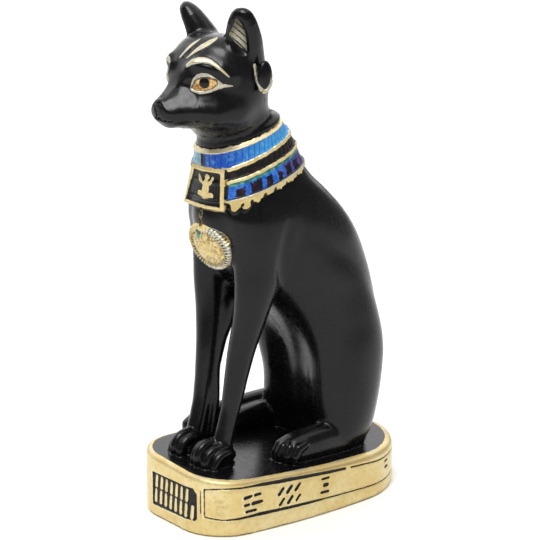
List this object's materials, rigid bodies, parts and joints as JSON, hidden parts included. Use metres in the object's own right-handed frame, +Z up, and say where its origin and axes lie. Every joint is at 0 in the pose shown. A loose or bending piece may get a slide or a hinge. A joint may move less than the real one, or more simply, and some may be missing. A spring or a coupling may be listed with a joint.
{
  "type": "bastet cat figure",
  "caption": "Seated cat statuette with pricked ears, a broad collar, a chest plate and a round pendant, cast in one piece with an oval plinth that it stands on.",
  "frame": {"origin": "centre of the plinth's flat underside", "axes": "+Z up from the plinth's underside to the ear tips, -Y the way the cat faces, +X the cat's left side"},
  "size_m": [0.0462, 0.0841, 0.1501],
  "materials": {
    "painted_resin": "glossy black cast resin with hand-painted gold, blue and teal details"
  },
  "bodies": {
    "root": {"cat_figure": "painted_resin"}
  },
  "joints": []
}
